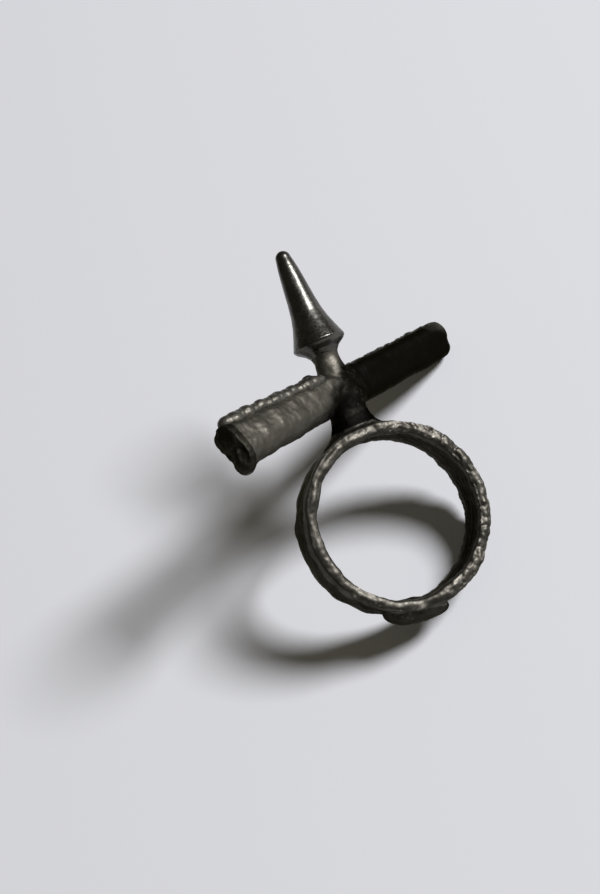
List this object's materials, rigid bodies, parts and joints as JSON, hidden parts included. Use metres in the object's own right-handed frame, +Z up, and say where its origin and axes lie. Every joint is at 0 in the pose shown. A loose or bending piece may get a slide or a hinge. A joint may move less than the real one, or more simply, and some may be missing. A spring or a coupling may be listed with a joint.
{
  "type": "finger ring",
  "caption": "Dark hand-made metal finger ring: a broad round band, a short post, a long slanting cross bar and, on top of it, a short neck with a tall flared cone.",
  "frame": {"origin": "on the surface the ring lies on, under the middle of the whole ring's box", "axes": "+Z up from that surface; +Y away from the viewer, from the band's near side towards the tips of the spike and the bar; +X to the viewer's right. The ring lies tilted: its upright direction, from the band up the post to the spike, points along (0.254, 0.851, 0.460)."},
  "size_m": [0.0292, 0.036, 0.0275],
  "materials": {
    "blackened_silver": "silver blackened with sulphide and rubbed back by hand, semi-gloss, uneven from melting and soldering",
    "worn_silver": "the same silver where wear has taken the black off: wire rims, beads and ridges, brighter and smoother"
  },
  "bodies": {
    "root": {"band_liner": "blackened_silver", "band_shell": "blackened_silver", "front_rim": "worn_silver", "back_rim": "worn_silver", "seam_lump": "blackened_silver", "post_foot": "blackened_silver", "post": "blackened_silver", "hub": "blackened_silver", "left_arm": "blackened_silver", "left_arm_ridge": "worn_silver", "left_arm_cap": "blackened_silver", "right_arm": "blackened_silver", "right_arm_ridge": "worn_silver", "right_arm_cap": "blackened_silver", "crown_knob": "worn_silver", "neck": "blackened_silver", "spike_foot": "blackened_silver", "spike": "blackened_silver"}
  },
  "joints": []
}
